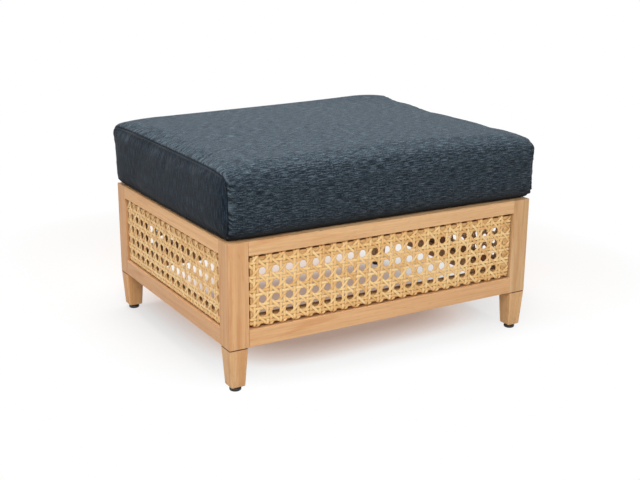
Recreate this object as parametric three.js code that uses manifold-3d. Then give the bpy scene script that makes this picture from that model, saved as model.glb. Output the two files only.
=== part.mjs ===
// Outdoor ottoman footstool: a hardwood box on four tapered legs, with a woven cane panel in
// each side, a slatted seat and a loose cushion whose cover closes with a zip at the back.
// Millimetres, +Z up. The origin is on the floor under the middle of the footstool.
// +X runs along the long side and +Y points to the back.

import * as THREE from 'three';
import { mergeVertices } from 'three/addons/utils/BufferGeometryUtils.js';
import Module from 'manifold-3d';

const wasm = await Module();
wasm.setup();

// Box
const boxWidth = 720;
const boxDepth = 574;
const boxTop = 297;
const boxBottom = 89;

// Posts and rails
const postSize = 42;
const railThickness = 26;
const topRailHeight = 28;
const bottomRailHeight = 34.5;
const edgeEase = 1;
const tenonLength = 15;
const tenonThickness = 9;
const tenonShoulder = 6;

// Cane panels and the wooden frames that they are stapled to
const panelRecess = 3.5;
const panelGap = 0.8;
const caneThickness = 3;
const canePitch = 27.75;
const caneHoleWidth = 15.6;
const longPanelWeaveShift = -10.6;
const panelFrameWidth = 18;
const panelFrameSetback = 0.5;

// Seat
const slatCount = 7;
const slatWidth = 62;
const slatThickness = 12;
const slatEase = 2;
const slatEndGap = 1;
const cleatDepth = 20;
const bearerHeight = 30;
const bearerWidth = 26;
const bearerTenonLength = 12;
const bearerTenonShoulder = 3;

// Legs, their hanger bolts and the levelling glides
const legTopSize = 39;
const legFootSize = 29.5;
const legEdgeRadius = 2.2;
const legChamfer = 1.8;
const legLift = 10;
const boltDiameter = 8;
const boltLength = 70;
const boltEndChamfer = 1.2;
const boltEndGap = 1;
const insertDiameter = 12;
const insertLength = 15;
const glideDiameter = 23.5;
const glideFootDiameter = 17;
const glideRimHeight = 6;
const glideRimRise = 3;
const glideShoulderDiameter = 16;
const glideStemDiameter = 6;
const glideStemLength = 13;

// Cushion. The overhang is that of its corners before the sides pull in.
const cushionOverhang = 6.5;
const cushionEdgeHeight = 138;
const cushionCrown = 16;
const cushionEdgeRadius = 20;
const cushionSideDraw = 4;
const cushionFootDraw = 3;
const coverThickness = 3;
const foamGap = 0.8;

// Zip
const zipLength = 520;
const zipTapeHeight = 24;
const zipTapeThickness = 1.2;
const zipRecess = 1;
const zipTeethHeight = 5.5;
const zipTeethDepth = 1.6;
const zipEndMargin = 3;
const sliderLength = 12;
const sliderHeight = 10;
const sliderRoof = 1.2;
const sliderEarWidth = 2;
const pullPinDiameter = 1.8;
const pullEyeWall = 1.2;
const pullLength = 26;
const pullThickness = 1.4;
const pullGripThickness = 2.2;
const pullGripLength = 9;

// Fits
const fitClearance = 0.3;
const overrun = 1;

// Facets
const glideSides = 16;
const boreSides = 12;
const smallRoundSides = 8;
const cornerSegments = 2;
const coverSegments = [14, 11, 5];
const foamSegments = [8, 6, 3];

// Sizes that follow from the ones above
const boxHeight = boxTop - boxBottom;
const legLength = boxBottom - legLift;
const openingHeight = boxHeight - topRailHeight - bottomRailHeight;
const openingMiddle = boxBottom + bottomRailHeight + openingHeight / 2;
const topTenonHeight = topRailHeight - 2 * tenonShoulder;
const bottomTenonHeight = bottomRailHeight - 2 * tenonShoulder;
const topRailMiddle = boxTop - topRailHeight / 2;
const bottomRailMiddle = boxBottom + bottomRailHeight / 2;
const panelFrameDepth = railThickness - panelRecess - caneThickness - panelFrameSetback;
const slatUnderside = boxTop - slatThickness;
const cleatHeight = topRailHeight - slatThickness;
const bearerTenonWidth = bearerWidth - 2 * tenonShoulder;
const bearerTenonHeight = cleatHeight - 2 * bearerTenonShoulder;
const bearerTenonMiddle = slatUnderside - bearerTenonShoulder - bearerTenonHeight / 2;
const cushionWidth = boxWidth + 2 * cushionOverhang;
const cushionDepth = boxDepth + 2 * cushionOverhang;
const cushionBase = boxTop + fitClearance;
const cushionMiddle = cushionBase + cushionEdgeHeight / 2;

const wood = new THREE.MeshStandardMaterial({ color: 0xd9ae7c, roughness: 0.6 });
const hiddenWood = new THREE.MeshStandardMaterial({ color: 0xc39a69, roughness: 0.7 });
const cane = new THREE.MeshStandardMaterial({ color: 0xe0b467, roughness: 0.5 });
const zincSteel = new THREE.MeshStandardMaterial({ color: 0xb4b6b8, roughness: 0.35, metalness: 1 });
const blackPlastic = new THREE.MeshStandardMaterial({ color: 0x161616, roughness: 0.5 });
const slateFabric = new THREE.MeshStandardMaterial({ color: 0x3b4754, roughness: 0.95 });
const foam = new THREE.MeshStandardMaterial({ color: 0xf1e8cd, roughness: 0.9 });
const zipFabric = new THREE.MeshStandardMaterial({ color: 0x2b333d, roughness: 0.8 });

// The closed solid that a three.js geometry bounds, ready to join or cut.
function solidFrom(geometry) {
  const bare = geometry.clone();
  bare.deleteAttribute('normal');
  bare.deleteAttribute('uv');
  const merged = mergeVertices(bare);
  return new wasm.Manifold(new wasm.Mesh({
    numProp: 3,
    vertProperties: new Float32Array(merged.attributes.position.array),
    triVerts: new Uint32Array(merged.index.array),
  }));
}

// The three.js geometry of a joined or cut solid.
function geometryFrom(solid) {
  const mesh = solid.getMesh();
  const geometry = new THREE.BufferGeometry();
  geometry.setAttribute('position', new THREE.BufferAttribute(mesh.vertProperties, 3));
  geometry.setIndex(new THREE.BufferAttribute(mesh.triVerts, 1));
  geometry.computeVertexNormals();
  return geometry;
}

function join(geometry, ...additions) {
  const joined = additions.reduce((solid, addition) => solid.add(solidFrom(addition)), solidFrom(geometry));
  return geometryFrom(joined);
}

function cut(geometry, ...tools) {
  const remainder = tools.reduce((solid, tool) => solid.subtract(solidFrom(tool)), solidFrom(geometry));
  return geometryFrom(remainder);
}

function piece(name, geometry, material, x = 0, y = 0, z = 0) {
  const mesh = new THREE.Mesh(geometry, material);
  mesh.name = name;
  mesh.position.set(x, y, z);
  return mesh;
}

function block(width, depth, height, x = 0, y = 0, z = 0) {
  return new THREE.BoxGeometry(width, depth, height).translate(x, y, z);
}

// A vertical round bar that stands on z = 0.
function roundBar(diameter, length, sides = boreSides) {
  const bar = new THREE.CylinderGeometry(diameter / 2, diameter / 2, length, sides);
  return bar.rotateX(Math.PI / 2).translate(0, 0, length / 2);
}

// A vertical turned piece from [radius, height] points that start and end on the axis,
// or that close on themselves.
function turned(points, sides = boreSides) {
  const profile = points.map(([radius, height]) => new THREE.Vector2(radius, height));
  return new THREE.LatheGeometry(profile, sides).rotateX(Math.PI / 2);
}

function rectangle(width, height) {
  const shape = new THREE.Shape();
  shape.moveTo(-width / 2, -height / 2);
  shape.lineTo(width / 2, -height / 2);
  shape.lineTo(width / 2, height / 2);
  shape.lineTo(-width / 2, height / 2);
  shape.closePath();
  return shape;
}

function chamferedRectangle(width, height, chamfer) {
  const x = width / 2;
  const y = height / 2;
  const shape = new THREE.Shape();
  shape.moveTo(-x + chamfer, -y);
  shape.lineTo(x - chamfer, -y);
  shape.lineTo(x, -y + chamfer);
  shape.lineTo(x, y - chamfer);
  shape.lineTo(x - chamfer, y);
  shape.lineTo(-x + chamfer, y);
  shape.lineTo(-x, y - chamfer);
  shape.lineTo(-x, -y + chamfer);
  shape.closePath();
  return shape;
}

function roundedSquare(size, radius) {
  const arm = size / 2 - radius;
  const shape = new THREE.Shape();
  shape.absarc(arm, -arm, radius, -Math.PI / 2, 0);
  shape.absarc(arm, arm, radius, 0, Math.PI / 2);
  shape.absarc(-arm, arm, radius, Math.PI / 2, Math.PI);
  shape.absarc(-arm, -arm, radius, Math.PI, 1.5 * Math.PI);
  shape.closePath();
  return shape;
}

function extruded(shape, depth) {
  return new THREE.ExtrudeGeometry(shape, { depth, bevelEnabled: false, curveSegments: cornerSegments });
}

// A straight bar along X, centred on the origin, with the long edges eased.
function barAlongX(length, depth, height, ease) {
  const bar = extruded(chamferedRectangle(depth, height, ease), length);
  return bar.translate(0, 0, -length / 2).rotateX(Math.PI / 2).rotateZ(Math.PI / 2);
}

// A flat plate that stands on edge: its outline lies in X and Z, and its thickness is in Y.
function standingPlate(shape, thickness) {
  return extruded(shape, thickness).rotateX(Math.PI / 2).translate(0, thickness / 2, 0);
}

// The blind pocket that takes a stub tenon, from a face at x = 0 towards +X or -X.
function mortise(direction, length, thickness, height) {
  const pocket = length + fitClearance;
  return block(
    pocket + overrun, thickness + 2 * fitClearance, height + 2 * fitClearance,
    direction * (pocket - overrun) / 2);
}

// A rail between two posts, with a stub tenon on each end.
function rail(span, height, tenonHeight) {
  const body = barAlongX(span, railThickness, height, edgeEase);
  const tenonPair = block(span + 2 * tenonLength, tenonThickness, tenonHeight);
  return join(body, tenonPair);
}

// A post with the four mortises of its rails and the bore of its leg bolt. sideX and sideY say
// which corner it stands at.
function post(sideX, sideY) {
  const body = extruded(chamferedRectangle(postSize, postSize, edgeEase), boxHeight);
  const railLine = (postSize - railThickness) / 2;
  const rails = [
    [topRailMiddle - boxBottom, topTenonHeight],
    [bottomRailMiddle - boxBottom, bottomTenonHeight],
  ];
  const pockets = rails.flatMap(([height, tenonHeight]) => [
    mortise(sideX, tenonLength, tenonThickness, tenonHeight)
      .translate(-sideX * postSize / 2, sideY * railLine, height),
    mortise(sideY, tenonLength, tenonThickness, tenonHeight).rotateZ(Math.PI / 2)
      .translate(sideX * railLine, -sideY * postSize / 2, height),
  ]);
  const legLine = (postSize - legTopSize) / 2;
  const bore = roundBar(boltDiameter + 2 * fitClearance, boltLength / 2 + boltEndGap + overrun)
    .translate(sideX * legLine, sideY * legLine, -overrun);
  return cut(body, ...pockets, bore);
}

// A leg: a square with rounded edges that narrows to the foot, chamfered at both ends, bored
// for the hanger bolt above and for the threaded insert of the glide below.
function leg() {
  const body = new THREE.ExtrudeGeometry(roundedSquare(legTopSize, legEdgeRadius), {
    depth: legLength - 2 * legChamfer,
    bevelThickness: legChamfer,
    bevelSize: legChamfer,
    bevelOffset: -legChamfer,
    bevelSegments: 1,
    curveSegments: cornerSegments,
  }).translate(0, 0, legChamfer);
  const points = body.attributes.position;
  for (let i = 0; i < points.count; i += 1) {
    const rise = points.getZ(i) / legLength;
    const narrowing = (legFootSize + (legTopSize - legFootSize) * rise) / legTopSize;
    points.setXY(i, points.getX(i) * narrowing, points.getY(i) * narrowing);
  }
  const boltDepth = boltLength / 2 + boltEndGap;
  const boltBore = roundBar(boltDiameter + 2 * fitClearance, boltDepth + overrun)
    .translate(0, 0, legLength - boltDepth);
  const insertBore = roundBar(insertDiameter + 2 * fitClearance, insertLength + fitClearance + overrun)
    .translate(0, 0, -overrun);
  const stemBore = roundBar(glideStemDiameter + 2 * fitClearance, glideStemLength + fitClearance + overrun)
    .translate(0, 0, -overrun);
  return cut(body, boltBore, insertBore, stemBore);
}

function legBolt() {
  const radius = boltDiameter / 2;
  const tip = radius - boltEndChamfer;
  return turned([
    [0, 0],
    [tip, 0],
    [radius, boltEndChamfer],
    [radius, boltLength - boltEndChamfer],
    [tip, boltLength],
    [0, boltLength],
  ]);
}

// The threaded insert in the leg's foot, which the glide's stem screws into.
function glideInsert() {
  const inner = glideStemDiameter / 2 + fitClearance;
  const outer = insertDiameter / 2;
  return turned([[inner, 0], [outer, 0], [outer, insertLength], [inner, insertLength], [inner, 0]]);
}

// A glide: a moulded foot with a flat sole and a rounded rim, on a screwed stem.
function glide() {
  const soleRadius = glideFootDiameter / 2;
  const rimRadius = glideDiameter / 2;
  const shoulderRadius = glideShoulderDiameter / 2;
  const footTop = legLift - fitClearance;
  return turned([
    [0, 0],
    [soleRadius, 0],
    [(soleRadius + 2 * rimRadius) / 3, glideRimRise / 3],
    [rimRadius, glideRimRise],
    [rimRadius, glideRimHeight],
    [shoulderRadius, footTop],
    [glideStemDiameter / 2, footTop],
    [glideStemDiameter / 2, legLift + glideStemLength],
    [0, legLift + glideStemLength],
  ], glideSides);
}

// The middles of the weave's holes along one direction: as many as fit whole in the clear field
// between the frame's members, about a middle that is shifted from the field's own.
function holeMiddles(field, shift) {
  const room = field - caneHoleWidth - 2 * Math.abs(shift);
  const count = Math.floor(room / canePitch) + 1;
  return Array.from({ length: count }, (_, i) => shift + (i - (count - 1) / 2) * canePitch);
}

// The eight-sided hole that two upright strands, two level strands and four diagonal strands
// leave between them.
function weaveHole(x, y) {
  const hole = new THREE.Path();
  const radius = caneHoleWidth / 2 / Math.cos(Math.PI / 8);
  for (let i = 0; i < 8; i += 1) {
    const angle = (i + 0.5) * Math.PI / 4;
    const px = x + radius * Math.cos(angle);
    const py = y + radius * Math.sin(angle);
    if (i === 0) {
      hole.moveTo(px, py);
    } else {
      hole.lineTo(px, py);
    }
  }
  hole.closePath();
  return hole;
}

// A panel of cane webbing, pierced by the holes of its weave inside the frame behind it.
function canePanel(width, height, shift) {
  const sheet = rectangle(width, height);
  const columns = holeMiddles(width - 2 * panelFrameWidth, shift);
  const rows = holeMiddles(height - 2 * panelFrameWidth, 0);
  sheet.holes = columns.flatMap((x) => rows.map((y) => weaveHole(x, y)));
  return standingPlate(sheet, caneThickness);
}

function panelFrame(width, height) {
  const outline = rectangle(width, height);
  outline.holes = [rectangle(width - 2 * panelFrameWidth, height - 2 * panelFrameWidth)];
  return standingPlate(outline, panelFrameDepth);
}

// One side of the box, built as the front is: X runs along it and -Y points out of it.
function boxSide(name, angle, length, distance, weaveShift, bearerMortise) {
  const side = new THREE.Group();
  side.rotation.z = angle;
  const span = length - 2 * postSize;
  const railLine = -distance + railThickness / 2;
  let topRail = rail(span, topRailHeight, topTenonHeight);
  if (bearerMortise) {
    topRail = cut(topRail, mortise(-1, bearerTenonLength, bearerTenonWidth, bearerTenonHeight)
      .rotateZ(Math.PI / 2).translate(0, railThickness / 2, bearerTenonMiddle - topRailMiddle));
  }
  side.add(piece(`top_rail_${name}`, topRail, wood, 0, railLine, topRailMiddle));
  side.add(piece(
    `bottom_rail_${name}`, rail(span, bottomRailHeight, bottomTenonHeight), wood,
    0, railLine, bottomRailMiddle));

  const panelWidth = span - 2 * panelGap;
  const panelHeight = openingHeight - 2 * panelGap;
  const caneLine = -distance + panelRecess + caneThickness / 2;
  const frameLine = -distance + panelRecess + caneThickness + panelFrameDepth / 2;
  side.add(piece(
    `cane_panel_${name}`, canePanel(panelWidth, panelHeight, weaveShift), cane,
    0, caneLine, openingMiddle));
  side.add(piece(
    `panel_frame_${name}`, panelFrame(panelWidth, panelHeight), hiddenWood,
    0, frameLine, openingMiddle));
  return side;
}

// The bearer under the middle of the slats, tenoned into the side rails.
function centreBearer() {
  const span = boxWidth - 2 * railThickness;
  const body = barAlongX(span, bearerWidth, bearerHeight, edgeEase)
    .translate(0, 0, slatUnderside - bearerHeight / 2);
  const tenonPair = block(
    span + 2 * bearerTenonLength, bearerTenonWidth, bearerTenonHeight,
    0, 0, bearerTenonMiddle);
  return join(body, tenonPair);
}

// A padded box: the edges are rounded, the top is crowned, the sides pull in between the corners
// and towards the foot, and the base is flat. Each vertex of an evenly divided box moves there.
function paddedBox(inset, segments) {
  const [columns, rows, layers] = segments;
  const box = new THREE.BoxGeometry(2, 2, 2, columns, rows, layers);
  box.deleteAttribute('normal');
  box.deleteAttribute('uv');
  const padded = mergeVertices(box);
  const half = new THREE.Vector3(cushionWidth, cushionDepth, cushionEdgeHeight)
    .divideScalar(2).subScalar(inset);
  const radius = cushionEdgeRadius - inset;
  const core = half.clone().subScalar(radius);
  const points = padded.attributes.position;
  const share = new THREE.Vector3();
  for (let i = 0; i < points.count; i += 1) {
    share.fromBufferAttribute(points, i);
    const point = gatherToEdges(share).multiply(half);
    const inner = point.clone().clamp(core.clone().negate(), core);
    const bulge = point.clone().sub(inner);
    point.copy(inner).add(bulge.setLength(Math.min(bulge.length(), radius)));

    const along = point.clone().divide(half);
    const lean = cushionFootDraw * (1 - along.z) / 2;
    const drawX = lean + cushionSideDraw * (1 - along.y ** 4);
    const drawY = lean + cushionSideDraw * (1 - along.x ** 4);
    const crown = cushionCrown * (2 - along.x ** 2 - along.y ** 2) / 2;
    points.setXYZ(
      i,
      point.x - along.x * drawX,
      point.y - along.y * drawY,
      point.z + crown * (1 + along.z) / 2);
  }
  padded.computeVertexNormals();
  return padded;
}

// Even shares from -1 to 1 on each axis, moved closer together near the ends.
function gatherToEdges(share) {
  const gather = (value) => value * (3 - value * value) / 2;
  return new THREE.Vector3(gather(share.x), gather(share.y), gather(share.z));
}

// The back wall of the cover where the zip is sewn in: its outer face at the middle of its height.
const zipWall = (cushionDepth - cushionFootDraw) / 2 - cushionSideDraw;
const zipTapeFace = zipWall - zipRecess;
const zipTapeMiddle = zipTapeFace - zipTapeThickness / 2;

// The cover is one skin of fabric and wadding, open only at the slot that the zip closes.
function cushionCover() {
  const slot = block(
    zipLength + 2 * fitClearance, 2 * (coverThickness + cushionSideDraw),
    zipTapeHeight + 2 * fitClearance, 0, zipWall, 0);
  return cut(paddedBox(0, coverSegments), paddedBox(coverThickness, coverSegments), slot);
}

// The foam core, relieved where the zip's tape lies against it.
function cushionFoam() {
  const tapeRelief = block(
    zipLength + 2 * fitClearance, 2 * coverThickness, zipTapeHeight + 2 * fitClearance,
    0, zipTapeFace - zipTapeThickness - fitClearance + coverThickness, 0);
  return cut(paddedBox(coverThickness + foamGap, foamSegments), tapeRelief);
}

// The zip's tape with the closed row of teeth along its middle.
function zipTape() {
  const tape = block(zipLength, zipTapeThickness, zipTapeHeight);
  const teeth = block(
    zipLength - 2 * zipEndMargin, zipTeethDepth + overrun, zipTeethHeight,
    0, zipTapeThickness / 2 + (zipTeethDepth - overrun) / 2);
  return join(tape, teeth);
}

// The slider: a channel over the teeth, with two ears and the pin that the pull turns on.
// Its origin is on the outer face of the tape, at the middle of the teeth.
const sliderFace = zipTeethDepth + fitClearance + sliderRoof;
const pullEyeRadius = pullPinDiameter / 2 + fitClearance + pullEyeWall;
const pullPinLine = sliderFace + fitClearance + pullEyeRadius;
const pullWidth = sliderLength - 2 * (sliderEarWidth + fitClearance);

function zipSlider() {
  const shell = block(
    sliderLength, sliderFace - fitClearance, sliderHeight,
    0, (sliderFace + fitClearance) / 2);
  const channel = block(
    sliderLength + 2 * overrun, zipTeethDepth + fitClearance, zipTeethHeight + 2 * fitClearance,
    0, (zipTeethDepth + fitClearance) / 2);
  const earDepth = pullPinLine + pullPinDiameter - sliderFace;
  const ears = [-1, 1].map((end) => block(
    sliderEarWidth, earDepth + overrun, 2 * pullPinDiameter,
    end * (sliderLength - sliderEarWidth) / 2, sliderFace + (earDepth - overrun) / 2));
  const pin = roundBar(pullPinDiameter, sliderLength - sliderEarWidth, smallRoundSides)
    .translate(0, 0, -(sliderLength - sliderEarWidth) / 2)
    .rotateY(Math.PI / 2)
    .translate(0, pullPinLine, 0);
  return join(cut(shell, channel), ...ears, pin);
}

// The pull: an eye round the slider's pin and a flat tongue that hangs from it and thickens
// into a grip at its end.
function zipPull() {
  const eyeHole = pullPinDiameter / 2 + fitClearance;
  const outline = new THREE.Shape();
  const waist = Math.asin(pullThickness / 2 / pullEyeRadius);
  outline.absarc(0, 0, pullEyeRadius, -Math.PI / 2 + waist, 1.5 * Math.PI - waist);
  outline.lineTo(-pullThickness / 2, -pullLength + pullGripLength);
  outline.lineTo(-pullGripThickness / 2, -pullLength);
  outline.lineTo(pullGripThickness / 2, -pullLength);
  outline.lineTo(pullThickness / 2, -pullLength + pullGripLength);
  outline.closePath();
  const hole = new THREE.Path();
  hole.absarc(0, 0, eyeHole, 0, 2 * Math.PI);
  outline.holes = [hole];
  const tongue = new THREE.ExtrudeGeometry(outline, {
    depth: pullWidth,
    bevelEnabled: false,
    curveSegments: smallRoundSides,
  });
  return tongue.translate(0, 0, -pullWidth / 2).rotateX(Math.PI / 2).rotateZ(Math.PI / 2);
}

function buildBox() {
  const box = new THREE.Group();
  box.add(boxSide('front', 0, boxWidth, boxDepth / 2, longPanelWeaveShift, false));
  box.add(boxSide('right', Math.PI / 2, boxDepth, boxWidth / 2, 0, true));
  box.add(boxSide('back', Math.PI, boxWidth, boxDepth / 2, longPanelWeaveShift, false));
  box.add(boxSide('left', -Math.PI / 2, boxDepth, boxWidth / 2, 0, true));
  return box;
}

// A post with its leg, bolt, insert and glide at one corner of the box.
function buildCorner(name, sideX, sideY) {
  const corner = new THREE.Group();
  const postX = sideX * (boxWidth - postSize) / 2;
  const postY = sideY * (boxDepth - postSize) / 2;
  const legX = sideX * (boxWidth - legTopSize) / 2;
  const legY = sideY * (boxDepth - legTopSize) / 2;
  corner.add(piece(`post_${name}`, post(sideX, sideY), wood, postX, postY, boxBottom));
  corner.add(piece(`leg_${name}`, leg(), wood, legX, legY, legLift));
  corner.add(piece(`leg_bolt_${name}`, legBolt(), zincSteel, legX, legY, boxBottom - boltLength / 2));
  corner.add(piece(`glide_insert_${name}`, glideInsert(), zincSteel, legX, legY, legLift));
  corner.add(piece(`glide_${name}`, glide(), blackPlastic, legX, legY, 0));
  return corner;
}

// The slats run from front to back on two cleats and the centre bearer.
function buildSeat() {
  const seat = new THREE.Group();
  const clearWidth = boxWidth - 2 * postSize;
  const clearDepth = boxDepth - 2 * railThickness;
  const slatGap = (clearWidth - slatCount * slatWidth) / (slatCount + 1);
  const slatLength = clearDepth - 2 * slatEndGap;
  for (let i = 0; i < slatCount; i += 1) {
    const slat = barAlongX(slatLength, slatWidth, slatThickness, slatEase).rotateZ(Math.PI / 2);
    const slatX = (i - (slatCount - 1) / 2) * (slatWidth + slatGap);
    seat.add(piece(`seat_slat_${i + 1}`, slat, hiddenWood, slatX, 0, boxTop - slatThickness / 2));
  }
  const cleatLength = clearWidth - 2 * fitClearance;
  for (const [name, side] of [['front', -1], ['back', 1]]) {
    seat.add(piece(
      `slat_cleat_${name}`, barAlongX(cleatLength, cleatDepth, cleatHeight, edgeEase), hiddenWood,
      0, side * (clearDepth - cleatDepth) / 2, slatUnderside - cleatHeight / 2));
  }
  seat.add(piece('centre_bearer', centreBearer(), hiddenWood));
  return seat;
}

function buildCushion() {
  const cushion = new THREE.Group();
  cushion.position.z = cushionMiddle;
  cushion.add(piece('cushion_cover', cushionCover(), slateFabric));
  cushion.add(piece('cushion_foam', cushionFoam(), foam));
  cushion.add(piece('zip_tape', zipTape(), zipFabric, 0, zipTapeMiddle, 0));
  const closedEnd = -(zipLength - sliderLength) / 2 + zipEndMargin;
  cushion.add(piece('zip_slider', zipSlider(), zincSteel, closedEnd, zipTapeFace, 0));
  cushion.add(piece('zip_pull', zipPull(), zincSteel, closedEnd, zipTapeFace + pullPinLine, 0));
  return cushion;
}

const footstool = new THREE.Group();
footstool.add(buildBox());
for (const [name, sideX, sideY] of [
  ['front_left', -1, -1],
  ['front_right', 1, -1],
  ['back_right', 1, 1],
  ['back_left', -1, 1],
]) {
  footstool.add(buildCorner(name, sideX, sideY));
}
footstool.add(buildSeat());
footstool.add(buildCushion());

export default footstool;
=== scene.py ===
"""Outdoor ottoman footstool: the looks of a hardwood box with woven cane sides and a loose cushion.

Metres, +Z up. The origin is on the floor under the middle of the footstool, +X runs along its
long side and +Y points to its back, as in the CAD frame that the pieces are built around.
"""

import math

import bmesh
import bpy
import numpy as np
from mathutils import Matrix, Vector


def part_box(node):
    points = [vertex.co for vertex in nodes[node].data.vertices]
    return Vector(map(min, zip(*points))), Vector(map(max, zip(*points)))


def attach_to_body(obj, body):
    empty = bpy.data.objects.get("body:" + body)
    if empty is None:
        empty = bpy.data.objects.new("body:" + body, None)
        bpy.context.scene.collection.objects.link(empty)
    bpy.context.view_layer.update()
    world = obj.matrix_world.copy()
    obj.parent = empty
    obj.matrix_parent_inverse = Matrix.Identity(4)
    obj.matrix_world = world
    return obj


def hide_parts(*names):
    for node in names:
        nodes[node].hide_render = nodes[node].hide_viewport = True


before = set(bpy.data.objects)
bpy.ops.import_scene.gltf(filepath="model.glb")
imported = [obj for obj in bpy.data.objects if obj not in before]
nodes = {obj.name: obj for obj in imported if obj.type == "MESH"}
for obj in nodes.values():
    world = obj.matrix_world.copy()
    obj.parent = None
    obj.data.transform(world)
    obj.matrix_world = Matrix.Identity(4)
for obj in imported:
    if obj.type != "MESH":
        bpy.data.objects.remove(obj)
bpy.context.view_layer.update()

# Camera, solved from the corners and the weave of the photographed stool
CAMERA_PLACE = (-1.1375, -1.91833, 0.83235)
CAMERA_YAW = 0.5374
CAMERA_PITCH = 0.2835
CAMERA_ROLL = 0.0071
CAMERA_LENS = 58.22
CAMERA_SENSOR = 36.0

# Light: each lamp's place, size and power
LAMPS = {
    "overhead": ((0.0, 0.2, 2.5), 1.8, 92),
    "front": ((-1.2, -2.2, 2.1), 1.6, 54),
    "left": ((-2.4, -0.5, 1.7), 1.6, 9),
}
LAMP_TARGET = (0, 0, 0.25)
SKY_LEVEL = 0.25

# Floor: its radius, and two patches of painted shadow that fade between two shares of their reach
FLOOR_RADIUS = 60
FLOOR_COLOUR = (0.58, 0.55, 0.53)
# Colour of the painted warm glow of the wood's light in the nearer patch
FLOOR_GLOW_TINT = (0.94, 0.68, 0.56)
FLOOR_WHITENESS = 0.38
SHADE_MIDDLE, SHADE_REACH = (0.03, 0.13), (0.34, 0.35)
SHADE_START, SHADE_END, GLOW_END = 0.52, 1.31, 0.85
FAINT_MIDDLE, FAINT_REACH = (0.25, 0.42), (0.75, 0.72)
FAINT_START, FAINT_END = 0.25, 1.1

# Box
CORNERS = {
    "front_left": (-1, -1),
    "front_right": (1, -1),
    "back_right": (1, 1),
    "back_left": (-1, 1),
}
SIDE_ANGLES = {"front": 0, "right": 90, "back": 180, "left": -90}
SEAT_SLATS = [f"seat_slat_{number}" for number in range(1, 8)]
EDGE_SOFTENING = 0.0004
EDGE_ANGLE = 25
WELD_DISTANCE = 0.00001
# Painted shade at the top of each leg, in the step under the post: how far down it starts and its
# fade
JOINT_SHADE_LINE = 0.0021
JOINT_SHADE_FADE = 0.0003

# Wood: screen colours, and each piece's tone that multiplies them, partly its own and partly
# painted light
PLAIN_TONE = (1.0, 0.97, 0.94)
WOOD_TONES_AND_LIGHT = {
    "top_rail_front": (1.12, 1.17, 1.16),
    "top_rail_left": (1.14, 1.12, 1.05),
    "bottom_rail_front": (1.10, 1.08, 1.03),
    "bottom_rail_left": (1.02, 0.98, 0.95),
    "post_front_left": (1.01, 0.98, 0.92),
    "post_front_right": (0.99, 1.05, 1.05),
    "leg_front_left": (1.07, 1.11, 1.07),
    "leg_front_right": (1.08, 1.10, 1.02),
    "leg_back_left": (1.10, 1.05, 0.90),
}
SOFTWOOD = dict(light=(214, 176, 128), dark=(184, 142, 96), roughness=0.65)

# Cane webbing: where one of each side's holes lies from the side's middle, along and up, and
# how far the web is pulled along
CANE_PITCH = 0.0279
WEB_HOLES = {
    "front": (-0.0066, 0.01115),
    "right": (0.01395, 0.00995),
    "back": (0.0075, 0.01045),
    "left": (0.01075, 0.00855),
}
WEB_STRETCHES = {"front": 0.0027, "right": 0.0010, "back": -0.0015, "left": 0.0}
STRETCH_LENGTH = 0.235
STRETCH_PLACE = -0.177
STRETCH_FADE = 0.75
PAIR_SPREAD = 0.00365
STRAND_WIDTH = 0.0061
DIAGONAL_WIDTH = 0.0053
STRAND_THICKNESS = 0.00095
DIAGONAL_LIFT = 0.00100
PAIR_LIFT = 0.00050
LIFT_SHARPNESS = 3.5
STRAND_DRIFT = 0.00018
DRIFT_WAVE = 0.07
FOLD_INSETS = (0.0030, 0.0022)
FOLD_RADIUS = 0.0019
FOLD_RETURN = 0.0075
FOLD_TAIL = FOLD_RADIUS * math.pi / 2 + FOLD_RETURN
STEPS_PER_PITCH = 12
CROSSING_CROWDING = 0.5

# Strips that the web is folded over
STRIP_WIDTH = 0.0205
STRIP_INSET = 0.0045
STRIP_ROUND = 0.0015
STRIP_EDGE = 0.0005
STRIP_FACE = 0.0008
STRIP_MITRE_GAP = 0.0001

# Glides; an edge is a pair of its breadth and its height
GLIDE_SOLE_RADIUS = 0.0085
GLIDE_SOLE_FLAT = 0.6
GLIDE_RIM_RADIUS = 0.01175
GLIDE_RIM_RISE = 0.003
GLIDE_RIM_HEIGHT = 0.006
GLIDE_RIM_EDGE = (0.0004, 0.0006)
GLIDE_SHOULDER_RADIUS = 0.008
GLIDE_SHOULDER_EDGE = 0.0003
GLIDE_GAP = 0.0003
GLIDE_STEM_RADIUS = 0.003
GLIDE_STEM_EDGE = (0.0008, 0.0004)
GLIDE_SIDES = 48
THREAD_PITCH = 0.001
THREAD_DEPTH = 0.0005
THREAD_START = 0.0005
THREAD_STEPS = 6

# Screws: the rings of a head as shares of its radius, their heights in millimetres, the half
# width and the reach of the cross as shares too, and where screws stand along a slat or a strip
SCREW_RADIUS = 0.0035
SCREW_RINGS = np.array([0.9, 1.0, 0.85, 0.56, 0.52, 0.34, 0.16, 0.0])
SCREW_HEIGHTS = np.array([-1.2, 0.0, 0.12, 0.22, 0.25, 0.25, 0.25, 0.25])
SCREW_SIDES = 16
CROSS_WIDTH = 0.15
CROSS_REACH = 0.54
CROSS_DEPTH = 0.0009
SCREW_FROM_END = 0.011
SLAT_SCREWS = (-0.4, 0.4)
STRIP_SCREWS = (-0.9, -0.3, 0.3, 0.9)

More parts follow.
